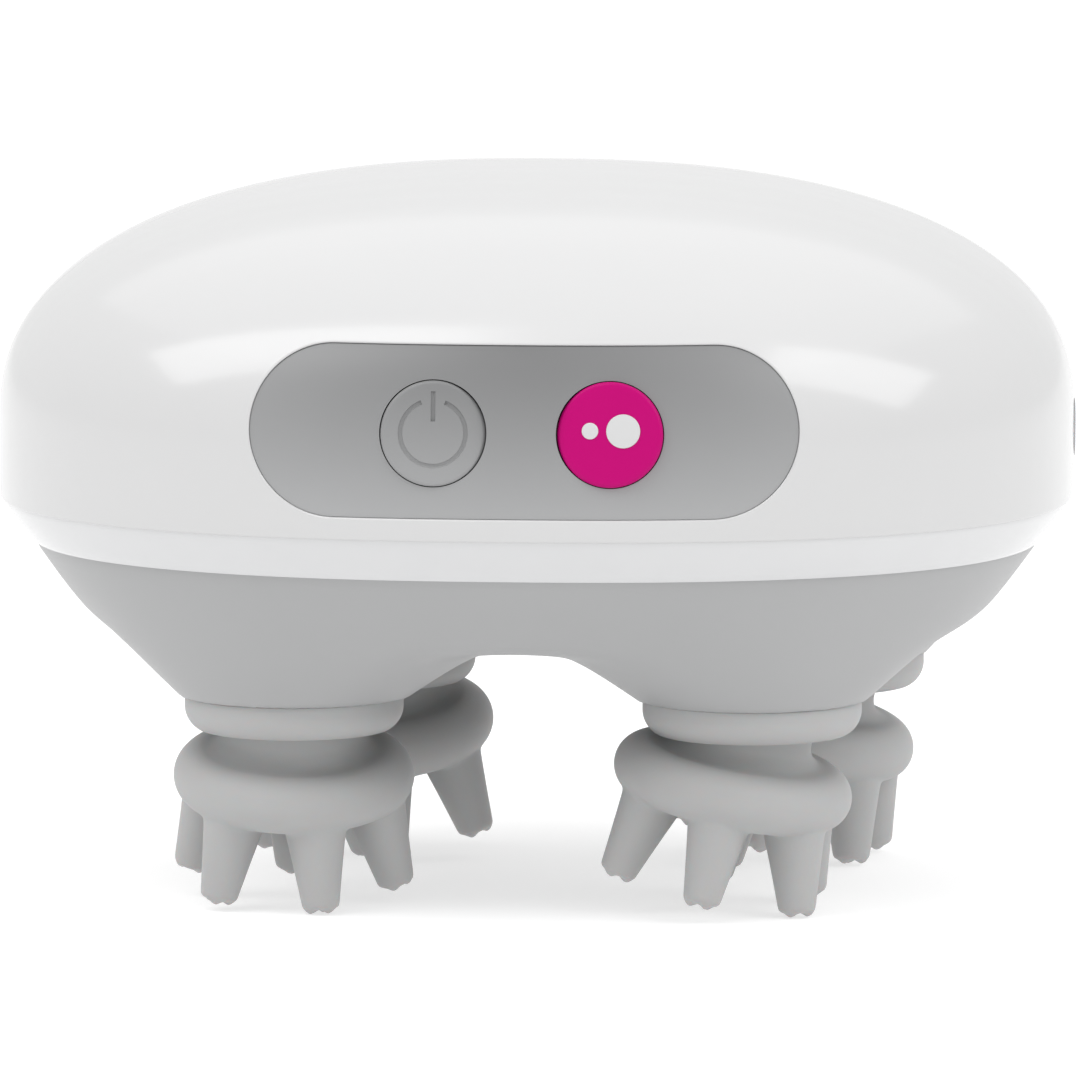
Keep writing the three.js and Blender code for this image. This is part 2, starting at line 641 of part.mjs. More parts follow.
function addChassis() {
  let chassis = plate(PLATE_HALF_WIDTH, CHASSIS_HALF_DEPTH, CHASSIS_Z, CHASSIS_THICKNESS);
  let cover = plate(PLATE_HALF_WIDTH, COVER_HALF_DEPTH, COVER_Z, COVER_THICKNESS);
  for (const leg of LEGS) {
    chassis = chassis.subtract(rod(BEARING_RADIUS + 0.4, 30, 50, 12, leg.x, leg.y));
  }
  for (const [x, y] of STANDOFFS) {
    const hole = rod(SCREW_HOLE_RADIUS, 30, 70, 8, x, y);
    chassis = chassis.subtract(hole);
    cover = cover.subtract(hole);
  }
  cover = cover.subtract(rod(SHAFT_RADIUS + 2 * GAP, 50, 70, 12, MECHANISM_X, 0));
  cover = cover.subtract(rod(5.2, 50, 70, 12, REDUCTION_X, REDUCTION_Y));
  addPiece('chassis_plate', BLACK, chassis);
  addPiece('gear_cover_plate', BLACK, cover);
}

function addStandoffs() {
  STANDOFFS.forEach(([x, y], index) => {
    const spacer = tube(SCREW_HOLE_RADIUS, SCREW_HEAD_RADIUS, CHASSIS_TOP + GAP, COVER_Z - GAP, 8, x, y);
    addPiece(`standoff_${index + 1}`, BRONZE, spacer);
    const screw = turned([
      [0, SCREW_LOW_Z],
      [SCREW_RADIUS, SCREW_LOW_Z],
      [SCREW_RADIUS, COVER_TOP + GAP],
      [SCREW_HEAD_RADIUS, COVER_TOP + GAP],
      [SCREW_HEAD_RADIUS - 0.2, COVER_TOP + 1.9],
      [0, COVER_TOP + 1.9],
    ], 8, x, y);
    addPiece(`long_screw_${index + 1}`, STEEL, screw);
  });
}

function cellSolid(radius, halfLength) {
  const geometry = new THREE.CylinderGeometry(radius, radius, 2 * halfLength, 24);
  geometry.rotateZ(Math.PI / 2);
  geometry.translate(MECHANISM_X, CELL_Y, CELL_Z);
  return toSolid(geometry);
}

function addBattery() {
  addPiece('battery_cell', CELL_BLUE, cellSolid(CELL_RADIUS, CELL_HALF_LENGTH));
  const low = [MECHANISM_X - CRADLE_HALF_WIDTH, CELL_Y - CRADLE_HALF_DEPTH, COVER_TOP + GAP];
  const high = [MECHANISM_X + CRADLE_HALF_WIDTH, CELL_Y + CRADLE_HALF_DEPTH, CELL_Z - 3];
  const bed = cellSolid(CELL_RADIUS + 2 * GAP, CRADLE_HALF_WIDTH + 10);
  addPiece('battery_cradle', BLACK, block(low, high).subtract(bed));
}

function addBoard() {
  const board = block(
    [PANEL_X - BOARD_HALF_WIDTH, BOARD_Y, BOARD_LOW_Z],
    [PANEL_X + BOARD_HALF_WIDTH, BOARD_Y + BOARD_THICKNESS, BOARD_TOP_Z],
  );
  addPiece('circuit_board', BOARD_GREEN, board);
  const z = PANEL_Z - SWITCH_DROP;
  ['power', 'mode'].forEach((name, index) => {
    const x = PANEL_X + (index - 0.5) * BUTTON_SPACING;
    const low = [x - SWITCH_HALF_SIZE, BOARD_Y - SWITCH_DEPTH, z - SWITCH_HALF_SIZE];
    const high = [x + SWITCH_HALF_SIZE, BOARD_Y - GAP, z + SWITCH_HALF_SIZE];
    addPiece(`${name}_switch`, BLACK, block(low, high));
  });
}

// Controls

// A body turned about a button's axis, which leans back with the panel.
// The profile is a list of [radius, y].
function turnedAsButton(profile, segments, x, rise = 0) {
  const points = profile.map(([radius, y]) => new THREE.Vector2(radius, y - BUTTON_FRONT_Y));
  const geometry = new THREE.LatheGeometry(points, segments);
  geometry.rotateX(-BUTTON_LEAN);
  geometry.translate(x, BUTTON_FRONT_Y, PANEL_Z + rise);
  return toSolid(geometry);
}

function addControlPanel() {
  const wall = domeSolid(PANEL_RECESS, SHELL_RIM_Z).subtract(domeSolid(WALL, SHELL_RIM_Z - 1));
  let panel = wall.intersect(pillPrism(0));
  const hole = [[0, -60], [BUTTON_RADIUS + GAP, -60], [BUTTON_RADIUS + GAP, -40], [0, -40]];
  for (const side of [-0.5, 0.5]) {
    panel = panel.subtract(turnedAsButton(hole, 28, PANEL_X + side * BUTTON_SPACING));
  }
  addPiece('control_panel', PANEL_GREY, panel);
}

function buttonSolid(x) {
  return turnedAsButton([
    [0, BUTTON_FRONT_Y],
    [BUTTON_RADIUS - BUTTON_EDGE, BUTTON_FRONT_Y],
    [BUTTON_RADIUS, BUTTON_FRONT_Y + BUTTON_EDGE],
    [BUTTON_RADIUS, BUTTON_FRONT_Y + BUTTON_SKIRT],
    [STEM_RADIUS, BUTTON_FRONT_Y + BUTTON_SKIRT],
    [STEM_RADIUS, BUTTON_FRONT_Y + STEM_END],
    [0, BUTTON_FRONT_Y + STEM_END],
  ], 28, x);
}

function addButtons() {
  addPiece('power_button', PANEL_GREY, buttonSolid(PANEL_X - BUTTON_SPACING / 2));
  const modeX = PANEL_X + BUTTON_SPACING / 2;
  const pocketEnd = BUTTON_FRONT_Y + DOT_DEPTH + GAP;
  const face = BUTTON_FRONT_Y - DOT_PROUD;
  const back = BUTTON_FRONT_Y + DOT_DEPTH;
  let button = buttonSolid(modeX);
  for (const [name, offset, radius] of DOTS) {
    const pocket = [[0, -58], [radius + GAP, -58], [radius + GAP, pocketEnd], [0, pocketEnd]];
    button = button.subtract(turnedAsButton(pocket, 16, modeX + offset, DOT_RISE));
    const dot = [[0, face], [radius, face], [radius, back], [0, back]];
    addPiece(name, WHITE, turnedAsButton(dot, 16, modeX + offset, DOT_RISE));
  }
  addPiece('mode_button', MAGENTA, button);
}

// A body turned about an axis along X through the charging port.
// The profile is a list of [radius, x].
function turnedAlongPort(profile) {
  const points = profile.map(([radius, x]) => new THREE.Vector2(radius, x));
  const geometry = new THREE.LatheGeometry(points, 20);
  geometry.rotateZ(-Math.PI / 2);
  geometry.translate(0, 0, PORT_Z);
  return toSolid(geometry);
}

function addChargingPort() {
  const back = PORT_FACE_X - SOCKET_DEPTH;
  addPiece('charging_socket', BLACK, turnedAlongPort([
    [0, back],
    [SOCKET_RADIUS, back],
    [SOCKET_RADIUS, PORT_FACE_X - 2.8],
    [1.9, PORT_FACE_X - 2.8],
    [1.9, back + 1.5],
    [0.6, back + 1.5],
    [0.6, PORT_FACE_X - 4.2],
    [0, PORT_FACE_X - 4.2],
  ]));
  addPiece('port_plug', SILICONE, turnedAlongPort([
    [0, PORT_FACE_X - 3.6],
    [1.5, PORT_FACE_X - 3.6],
    [1.5, PORT_FACE_X - 2.2],
    [PORT_RADIUS, PORT_FACE_X - 2.2],
    [PORT_RADIUS, PORT_FACE_X],
    [0, PORT_FACE_X],
  ]));
}

addTopShell();
addTrimBand();
addLowerShell();
addCaseSeal();
addControlPanel();
addButtons();
addChargingPort();
for (const leg of LEGS) {
  addCollar(leg);
  addHead(leg);
  addHeadCore(leg);
  addSpindle(leg);
  addLegBearing(leg);
}
addSunGear();
addReductionGear();
addMotorPinion();
addMotorCan();
addMotorBracket();
addChassis();
addStandoffs();
addBattery();
addBoard();

export default group;
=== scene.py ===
"""Cordless scalp massager brush: fine surfaces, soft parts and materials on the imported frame."""
import json
import math

import bmesh
import bpy
from mathutils import Matrix, Quaternion, Vector


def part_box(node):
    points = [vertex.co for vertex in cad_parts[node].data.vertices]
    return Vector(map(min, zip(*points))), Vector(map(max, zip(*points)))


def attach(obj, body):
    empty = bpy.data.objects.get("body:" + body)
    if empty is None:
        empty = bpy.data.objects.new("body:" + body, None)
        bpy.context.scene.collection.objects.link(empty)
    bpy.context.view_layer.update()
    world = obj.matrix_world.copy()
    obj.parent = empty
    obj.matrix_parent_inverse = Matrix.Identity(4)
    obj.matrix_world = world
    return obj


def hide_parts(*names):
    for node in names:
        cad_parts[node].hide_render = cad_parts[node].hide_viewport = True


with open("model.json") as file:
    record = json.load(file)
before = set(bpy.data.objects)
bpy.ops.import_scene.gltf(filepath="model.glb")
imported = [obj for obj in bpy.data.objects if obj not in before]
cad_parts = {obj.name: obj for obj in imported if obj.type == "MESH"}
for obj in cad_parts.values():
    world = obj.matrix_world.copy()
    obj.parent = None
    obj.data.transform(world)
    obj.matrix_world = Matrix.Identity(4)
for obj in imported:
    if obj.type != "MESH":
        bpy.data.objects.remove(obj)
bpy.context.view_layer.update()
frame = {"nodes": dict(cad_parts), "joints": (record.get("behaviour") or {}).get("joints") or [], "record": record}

# Shapes below are worked out in millimetres and written to the meshes in metres.
MM = 0.001


def box_mm(node):
    """The lowest and highest corners of a CAD node, in millimetres."""
    low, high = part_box(node)
    return Vector(low) / MM, Vector(high) / MM


# Casing sizes, from the frame
SHELL_LOW, SHELL_HIGH = box_mm("top_shell")
HALF_WIDTH = SHELL_HIGH.x
HALF_DEPTH = SHELL_HIGH.y
TOP_Z = SHELL_HIGH.z
RIM_Z = SHELL_LOW.z
WIDEST_Z = RIM_Z + 10.1
WALL = 2.2
PLAN_EXPONENT = 2.4
DOME_EXPONENT = 2.35
PLAN_SEGMENTS = 256

BAND_FOOT_Z = box_mm("trim_band")[0].z
BAND_SLOPE_IN = 4.2
BAND_THICKNESS = 3.4

LOWER_LOW, LOWER_HIGH = box_mm("lower_shell")
LOWER_INSET = HALF_WIDTH - LOWER_HIGH.x
LOWER_RIM_Z = LOWER_HIGH.z
LEG_DEPTH = LOWER_HIGH.z - LOWER_LOW.z
ARCH_DEPTH = 10
LEG_FOOT_RADIUS = 14.2
LEG_FLARE = 0.65
FLANK_SLOPE = 1.25
FLANK_BULGE = 0.4
BLEND = 3
EDGE_BLEND_REACH = 6
FOOT_BLEND = 0.3
LEG_HOLE_RADIUS = 13.2
LEG_HOLE_DEPTH = 9

# Control panel and buttons
PANEL_LOW, PANEL_HIGH = box_mm("control_panel")
PANEL_X = (PANEL_LOW.x + PANEL_HIGH.x) / 2
PANEL_Z = (PANEL_LOW.z + PANEL_HIGH.z) / 2
PANEL_RADIUS = (PANEL_HIGH.z - PANEL_LOW.z) / 2
PANEL_STRAIGHT = (PANEL_HIGH.x - PANEL_LOW.x) / 2 - PANEL_RADIUS
PANEL_RECESS = 0.25
BUTTON_RADIUS = 6.7
BUTTON_FRONT_Y = -56.15
BUTTON_LEAN = math.radians(8)
BUTTON_CLEARANCE = 0.12
DOT_RADII = {"mode_dot_small": 1.05, "mode_dot_large": 2.15}
DOT_RISE = 0.45

PLUG_LOW, PLUG_HIGH = box_mm("port_plug")
PORT_FACE_X = PLUG_HIGH.x
PORT_Z = (PLUG_LOW.z + PLUG_HIGH.z) / 2
PORT_RADIUS = 3.4
PORT_CLEARANCE = 0.3

# Legs and heads
LEG_NAMES = ("front_left", "front_right", "back_left", "back_right")
LEAN_DEGREES = {"front_left": 96, "front_right": 160, "back_left": 74, "back_right": 165}
FINGER_DEGREES = {"front_left": -10, "front_right": -32, "back_left": -22, "back_right": -39}
HEAD_TILT = math.radians(12)
NECK_RADIUS = 9
NECK_BORE_RADIUS = 7.3
NECK_TOP = 1
NECK_FLOOR = -9.7
RING_RADIUS = 11.7
RING_TUBE = 3.8
RING_DROP = 12.8
SADDLE_RADIUS = 2.5
FINGER_CIRCLE = 9.9
FINGER_SPLAY = math.radians(16)
FINGER_LENGTH = 14.15
FINGER_COUNT = 6
FINGER_ROOT_RADIUS = 4.7
FINGER_TIP_RADIUS = 2.4
FINGER_ROOT_HEIGHT = 1.5
NUB_RADIUS = 0.85
NUB_CIRCLE = 1.35
NUB_COUNT = 3


def leg_place(leg):
    """A leg's axis in plan, from its collar."""
    low, high = box_mm("collar_" + leg)
    return (low.x + high.x) / 2, (low.y + high.y) / 2


def head_pivots():
    """The point that each head rocks about, by leg."""
    pivots = {}
    for joint in frame["joints"]:
        if joint["name"].startswith("head_"):
            leg = joint["child"].removeprefix("head_")
            pivots[leg] = Vector(joint["pos_m"]) / MM
    return pivots


LEG_PLACES = {leg: leg_place(leg) for leg in LEG_NAMES}
PIVOTS = head_pivots()


# Camera, light and floor

def add_camera():
    """A long lens a little to the right of straight ahead and a little above."""
    azimuth = math.radians(4.5)
    elevation = math.radians(7)
    distance = 2.2
    frame_width = 0.1394
    aim = Vector((0, 0, 0.0449))
    direction = Vector((
        math.sin(azimuth) * math.cos(elevation),
        -math.cos(azimuth) * math.cos(elevation),
        math.sin(elevation),
    ))
    data = bpy.data.cameras.new("camera")
    data.sensor_width = 36
    data.lens = data.sensor_width * distance / frame_width
    camera = bpy.data.objects.new("camera", data)
    camera.location = aim + direction * distance
    camera.rotation_euler = direction.to_track_quat("Z", "Y").to_euler()
    bpy.context.scene.collection.objects.link(camera)
    bpy.context.scene.camera = camera


def add_area_light(name, place, aim, size, power, roll=0):
    """A rectangular soft box, turned by its roll in degrees about the line to its aim."""
    data = bpy.data.lights.new(name, "AREA")
    data.shape = "RECTANGLE"
    data.size, data.size_y = size
    data.energy = power
    light = bpy.data.objects.new(name, data)
    light.location = place
    turn = (Vector(place) - Vector(aim)).to_track_quat("Z", "Y")
    light.rotation_euler = (turn @ Quaternion((0, 0, 1), math.radians(roll))).to_euler()
    bpy.context.scene.collection.objects.link(light)


def add_studio():
    """White surroundings with slanting soft boxes left and right of the front and one overhead."""
    world = bpy.data.worlds.new("studio")
    world.use_nodes = True
    background = world.node_tree.nodes["Background"]
    background.inputs["Color"].default_value = (1, 1, 1, 1)
    background.inputs["Strength"].default_value = 0.87
    scene = bpy.context.scene
    scene.world = world
    scene.view_settings.view_transform = "Standard"
    centre = (0, 0, 0.06)
    add_area_light("soft_box_left", (-0.43, -0.36, 0.7), centre, (0.8, 0.38), 2.7, 40)
    add_area_light("soft_box_right", (0.62, -0.32, 0.54), centre, (0.6, 0.38), 1.95, -44)
    add_area_light("soft_box_top", (0, 0.2, 1.6), centre, (3, 3), 11)


def add_floor():
    """A white light table, which keeps the shadow between the legs soft."""
    mesh = bpy.data.meshes.new("floor")
    reach = 6
    corners = [(-reach, -reach, 0), (reach, -reach, 0), (reach, reach, 0), (-reach, reach, 0)]
    mesh.from_pydata(corners, [], [(0, 1, 2, 3)])
    floor = bpy.data.objects.new("floor", mesh)
    bpy.context.scene.collection.objects.link(floor)
    finish = bpy.data.materials.new("floor_white")
    finish.use_nodes = True
    shader = finish.node_tree.nodes["Principled BSDF"]
    shader.inputs["Base Color"].default_value = (0.5, 0.5, 0.5, 1)
    shader.inputs["Emission Color"].default_value = (1, 1, 1, 1)
    shader.inputs["Emission Strength"].default_value = 0.58
    shader.inputs["Roughness"].default_value = 0.9
    shader.inputs["Specular IOR Level"].default_value = 0.1
    floor.data.materials.append(finish)


# Materials

def node(tree, kind, **values):
    """A shader node with the given input values, whose names have _ for a space."""
    made = tree.nodes.new(kind)
    for name, value in values.items():
        made.inputs[name.replace("_", " ")].default_value = value
    return made


def coloured(tree, dark, light, factor):
    """Mixes two colours by a factor socket and returns the colour socket."""
    mix = tree.nodes.new("ShaderNodeMix")
    mix.data_type = "RGBA"
    mix.inputs["A"].default_value = (*dark, 1)
    mix.inputs["B"].default_value = (*light, 1)
    tree.links.new(factor, mix.inputs["Factor"])
    return mix.outputs["Result"]


def add_material(name, colour, roughness, mottle=0.03, cloud=60, grain=2500, depth=0.02,
                 stretch=None, **shader_values):
    """A moulded or machined surface: cloudy colour, uneven roughness and a fine raised grain.

    mottle is the share by which the colour varies, cloud and grain are noise scales per metre, and
    depth is the height of the grain in millimetres.
    """
    material = bpy.data.materials.new(name)
    material.use_nodes = True
    tree = material.node_tree
    shader = tree.nodes["Principled BSDF"]
    for key, value in shader_values.items():
        shader.inputs[key.replace("_", " ")].default_value = value
    place = tree.nodes.new("ShaderNodeTexCoord").outputs["Object"]
    if stretch:
        mapping = node(tree, "ShaderNodeMapping", Scale=stretch)
        tree.links.new(place, mapping.inputs["Vector"])
        place = mapping.outputs["Vector"]
    clouds = node(tree, "ShaderNodeTexNoise", Scale=cloud, Detail=4, Roughness=0.6)
    tree.links.new(place, clouds.inputs["Vector"])
    dark = [channel * (1 - mottle) for channel in colour]
    light = [min(1, channel * (1 + mottle)) for channel in colour]
    cloudy = coloured(tree, dark, light, clouds.outputs["Fac"])
    tree.links.new(cloudy, shader.inputs["Base Color"])
    uneven = 0.06
    spread = node(tree, "ShaderNodeMapRange", To_Min=roughness - uneven, To_Max=roughness + uneven)
    tree.links.new(clouds.outputs["Fac"], spread.inputs["Value"])
    tree.links.new(spread.outputs["Result"], shader.inputs["Roughness"])
    fine = node(tree, "ShaderNodeTexNoise", Scale=grain, Detail=3, Roughness=0.55)
    tree.links.new(place, fine.inputs["Vector"])
    bump = node(tree, "ShaderNodeBump", Strength=depth * 10, Distance=depth * MM)
    tree.links.new(fine.outputs["Fac"], bump.inputs["Height"])
    tree.links.new(bump.outputs["Normal"], shader.inputs["Normal"])
    return material


def vector_maths(tree, operation, first, second=None):
    """A vector maths node on a socket, with an optional fixed second vector."""
    made = tree.nodes.new("ShaderNodeVectorMath")
    made.operation = operation
    tree.links.new(first, made.inputs[0])
    if second is not None:
        made.inputs[1].default_value = second
    return made


def painted_shade_from(material, centre, stretch, reach, near, far):
    """Paints shade into a material's colour: scales it from near, at a point, to far, at a reach away in
    millimetres.
    """
    tree = material.node_tree
    colour = tree.nodes["Principled BSDF"].inputs["Base Color"]
    plain = colour.links[0].from_socket
    place = tree.nodes.new("ShaderNodeTexCoord").outputs["Object"]
    offset = vector_maths(tree, "SUBTRACT", place, Vector(centre) * MM).outputs["Vector"]
    stretched = vector_maths(tree, "MULTIPLY", offset, stretch).outputs["Vector"]
    distance = vector_maths(tree, "LENGTH", stretched).outputs["Value"]
    amount = node(tree, "ShaderNodeMapRange", From_Max=reach * MM, To_Min=near, To_Max=far)
    tree.links.new(distance, amount.inputs["Value"])
    scaled = vector_maths(tree, "SCALE", plain)
    tree.links.new(amount.outputs["Result"], scaled.inputs["Scale"])
    tree.links.new(scaled.outputs["Vector"], colour)


def make_visible_materials():
    """The finishes of the outside."""
    white = add_material("gloss_white", (0.54, 0.54, 0.542), 0.2, 0.01, grain=900, depth=0.008,
                         Specular_IOR_Level=0.35, Coat_Weight=0.4, Coat_Roughness=0.12)
    pearl = add_material("pearl", (0.61, 0.612, 0.618), 0.2, 0.02, cloud=160, grain=1200,
                         depth=0.004, Metallic=0.1, Specular_IOR_Level=0.3,
                         Coat_Weight=0.2, Coat_Roughness=0.14)
    grey = add_material("satin_grey", (0.345, 0.347, 0.35), 0.42, 0.02, grain=2600, depth=0.03)
    panel = add_material("panel_grey", (0.258, 0.26, 0.263), 0.4, 0.02, grain=3200)
    # Painted shade: the panel's colour is darkest at the middle of its top edge and grows lighter away from it;
    # the power button shares this finish.
    painted_shade_from(panel, (PANEL_X, 0, PANEL_HIGH.z), (0.3, 0, 1), 24, 0.52, 1.3)
    magenta = add_material("magenta", (0.43, 0.0004, 0.137), 0.34, 0.03, grain=2600, depth=0.01,
                           Specular_IOR_Level=0.1)
    silicone = add_material("silicone", (0.38, 0.382, 0.382), 0.58, 0.03, cloud=90, grain=1800,
                            depth=0.04, Subsurface_Weight=0.25, Subsurface_Scale=0.002)
    return {
        "white_shell": white,
        "pearl_trim": pearl,
        "grey_shell": grey,
        "panel_grey": panel,
        "magenta": magenta,
        "silicone": silicone,
    }


def make_inner_materials():
    """The finishes of the parts inside the casing."""
    steel = add_material("machined_steel", (0.6, 0.61, 0.62), 0.3, 0.06, cloud=120, grain=900,
                         depth=0.04, stretch=(1, 1, 12), Metallic=1)
    bronze = add_material("sintered_bronze", (0.55, 0.37, 0.17), 0.42, 0.12, cloud=200,
                          grain=2400, depth=0.06, Metallic=1)
    wrap = add_material("cell_wrap", (0.05, 0.16, 0.42), 0.28, 0.08, grain=500,
                        Coat_Weight=0.6, Coat_Roughness=0.1)
    board = add_material("solder_resist", (0.02, 0.17, 0.06), 0.35, 0.2, cloud=400, grain=700,
                         depth=0.05)
    black = add_material("black_plastic", (0.03, 0.031, 0.034), 0.5, 0.15, grain=2600, depth=0.06)
    rubber = add_material("seal_rubber", (0.025, 0.025, 0.026), 0.75, 0.2, grain=1600, depth=0.08)
    return {
        "nylon": add_material("nylon", (0.74, 0.71, 0.62), 0.45, 0.05, grain=2000, depth=0.04),
        "black_plastic": black,
        "seal_rubber": rubber,
        "steel": steel,
        "bronze": bronze,
        "cell_wrap": wrap,
        "board": board,
    }


# Mesh helpers

def mesh_object(name, points, faces):
    """An object from points in millimetres, with coincident points joined and faces outwards."""
    mesh = bpy.data.meshes.new(name)
    mesh.from_pydata([Vector(point) * MM for point in points], [], faces)
    coincident = 0.002 * MM
    work = bmesh.new()
    work.from_mesh(mesh)
    bmesh.ops.remove_doubles(work, verts=work.verts, dist=coincident)
    bmesh.ops.recalc_face_normals(work, faces=work.faces)
    work.to_mesh(mesh)
    work.free()
    made = bpy.data.objects.new(name, mesh)
    bpy.context.scene.collection.objects.link(made)
    return made


def loft(name, rings, closes=False, caps=True):
    """Joins equal rings of points, closed on itself or open, with or without caps on its ends."""
    count = len(rings[0])
    points = [point for ring in rings for point in ring]
    faces = []
    spans = len(rings) if closes else len(rings) - 1
    for span in range(spans):
        low = span * count
        high = (span + 1) % len(rings) * count
        for step in range(count):
            following = (step + 1) % count
            faces.append((low + step, low + following, high + following, high + step))
    if caps and not closes:
        last = (len(rings) - 1) * count
        faces.append(tuple(reversed(range(count))))
        faces.append(tuple(range(last, last + count)))
    return mesh_object(name, points, faces)


def turned(name, profile, segments=128, matrix=Matrix.Identity(4), closes=False):
    """A body turned about the vertical axis from a list of (radius, z), then moved by a matrix."""
    rings = []
    for radius, z in profile:
        ring = []
        for step in range(segments):
            angle = 2 * math.pi * step / segments
            ring.append(matrix @ Vector((radius * math.cos(angle), radius * math.sin(angle), z)))
        rings.append(ring)
    return loft(name, rings, closes)


def arc(centre, radius, start, end, steps):
    """Points along an arc of (radius, z) or any other pair, with the angles in degrees."""
    points = []
    for step in range(steps + 1):
        angle = math.radians(start + (end - start) * step / steps)
        points.append((centre[0] + radius * math.cos(angle), centre[1] + radius * math.sin(angle)))
    return points


def applied(target):
    """Makes the result of the object's modifiers its mesh."""
    bpy.context.view_layer.update()
    graph = bpy.context.evaluated_depsgraph_get()
    result = bpy.data.meshes.new_from_object(target.evaluated_get(graph))
    target.modifiers.clear()
    target.data = result


def combine(target, tool, operation):
    """Cuts, joins or intersects an object with a tool, and removes the tool."""
    modifier = target.modifiers.new("combine", "BOOLEAN")
    modifier.operation = operation
    modifier.solver = "EXACT"
    modifier.object = tool
    applied(target)
    bpy.data.objects.remove(tool)


def joined(name, pieces):
    """One object holding the meshes of several."""
    work = bmesh.new()
    for piece in pieces:
        work.from_mesh(piece.data)
        bpy.data.objects.remove(piece)
    mesh = bpy.data.meshes.new(name)
    work.to_mesh(mesh)
    work.free()
    made = bpy.data.objects.new(name, mesh)
    bpy.context.scene.collection.objects.link(made)
    return made


def finish_piece(piece, slot, body, *nodes):
    """Shades a piece, gives it its material and body, and lets it stand for its CAD nodes."""
    piece.data.shade_smooth()
    piece.data.set_sharp_from_angle(angle=math.radians(35))
    piece.data.materials.clear()
    piece.data.materials.append(MATERIALS[slot])
    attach(piece, body)
    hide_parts(*nodes)


# Casing shapes

def signed_power(value, power):
    """A power of a number's size, with the number's sign."""
    return math.copysign(abs(value) ** power, value)


def plan_ring(inset, scale, height_at, segments=PLAN_SEGMENTS):
    """The casing's plan outline, moved in by an inset and scaled; height_at gives z."""
    ring = []
    for step in range(segments):
        angle = 2 * math.pi * step / segments
        x = (HALF_WIDTH - inset) * scale * signed_power(math.cos(angle), 2 / PLAN_EXPONENT)
        y = (HALF_DEPTH - inset) * scale * signed_power(math.sin(angle), 2 / PLAN_EXPONENT)
        ring.append((x, y, height_at(x, y)))
    return ring


def level(z):
    """A height function for a ring that lies level."""
    return lambda x, y: z


def dome_rings(inset, count):
    """Rings from the widest line to just short of the crown, where a small flat cap closes them."""
    height = TOP_Z - WIDEST_Z - inset
    last_angle = math.radians(89.2)
    rings = []
    for step in range(count + 1):
        angle = last_angle * step / count
        z = WIDEST_Z + height * math.sin(angle) ** (2 / DOME_EXPONENT)
        scale = math.cos(angle) ** (2 / DOME_EXPONENT)
        rings.append(plan_ring(inset, scale, level(z)))
    return rings


def front_y(x, z, inset):
    """Where the front of the casing is, for a place on it seen from the front."""
    height = TOP_Z - WIDEST_Z - inset
    rise = max(0, z - WIDEST_Z) / height
    scale = (1 - rise ** DOME_EXPONENT) ** (1 / DOME_EXPONENT)
    across = abs(x) / ((HALF_WIDTH - inset) * scale)
    return -(HALF_DEPTH - inset) * scale * (1 - across ** PLAN_EXPONENT) ** (1 / PLAN_EXPONENT)


def pill_contour():
    """Centres and directions round the panel's outline: two half circles and two straights."""
    contour = []
    steps = 56
    for side, start in ((1, -90), (-1, 90)):
        end = side * PANEL_STRAIGHT
        for step in range(steps):
            contour.append((end, math.radians(start + 180 * step / steps)))
        for step in range(steps):
            contour.append((end * (1 - 2 * step / steps), math.radians(start + 180)))
    return contour


def pill_places(radius):
    """Places (x, z) round the panel at a distance from its middle line."""
    places = []
    for centre, angle in pill_contour():
        x = PANEL_X + centre + radius * math.cos(angle)
        z = PANEL_Z + radius * math.sin(angle)
        places.append((x, z))
    return places


def pill_ring(radius, inset, sink):
    """A ring round the panel on the casing's front, moved in by an inset and then pushed in."""
    return [(x, front_y(x, z, inset) + sink, z) for x, z in pill_places(radius)]


def smooth_max(a, b, blend):
    """The larger of two values, with a rounded step from one to the other."""
    return (a + b + math.hypot(a - b, blend)) / 2


def smooth_min(a, b, blend):
    """The smaller of two values, with a rounded step from one to the other."""
    return (a + b - math.hypot(a - b, blend)) / 2


def lower_depth(x, y):
    """How far the outside of the lower casing hangs below its rim."""
    across = abs(x / (HALF_WIDTH - LOWER_INSET)) ** PLAN_EXPONENT
    along = abs(y / (HALF_DEPTH - LOWER_INSET)) ** PLAN_EXPONENT
    reach = (across + along) ** (1 / PLAN_EXPONENT)
    nearly_centre = 1e-5
    from_edge = HALF_DEPTH
    if reach > nearly_centre:
        from_edge = max(0, math.hypot(x, y) * (1 / reach - 1))
    blend = BLEND * min(1, from_edge / EDGE_BLEND_REACH)
    hang = smooth_min(ARCH_DEPTH, FLANK_SLOPE * from_edge, blend)
    for leg_x, leg_y in LEG_PLACES.values():
        beyond = math.hypot(x - leg_x, y - leg_y) - LEG_FOOT_RADIUS
        if beyond <= 0:
            return LEG_DEPTH
        part = from_edge / (from_edge + beyond)
        flank = LEG_DEPTH * part * (1 + FLANK_BULGE - FLANK_BULGE * part)
        cone = LEG_DEPTH - LEG_FLARE * beyond
        leg = smooth_min(cone, flank, min(blend, FOOT_BLEND * beyond))
        hang = smooth_max(hang, leg, blend)
    return min(LEG_DEPTH, max(0, hang))


# Casing pieces

def rings_at(pairs, segments=PLAN_SEGMENTS):
    """Level rings of the casing's outline from (inset, z) pairs."""
    return [plan_ring(inset, 1, level(z), segments) for inset, z in pairs]


def pill_prism(radius):
    """A cutter through the front of the casing, the shape of the panel."""
    outside_y = -75
    inside_y = -30
    rings = [[(x, y, z) for x, z in pill_places(radius)] for y in (outside_y, inside_y)]
    return loft("pill_prism", rings)


def port_place(x):
    """Turns a profile's height into depth at the port, from a place on the right-hand side."""
    return Matrix.Translation((x, 0, PORT_Z)) @ Matrix.Rotation(math.radians(-90), 4, "Y")


def straight_hole(name, radius, low, high, segments, place):
    """A round cutter from low to high along the axis of its place."""
    profile = [(0, low), (radius, low), (radius, high), (0, high)]
    return turned(name, profile, segments, place)


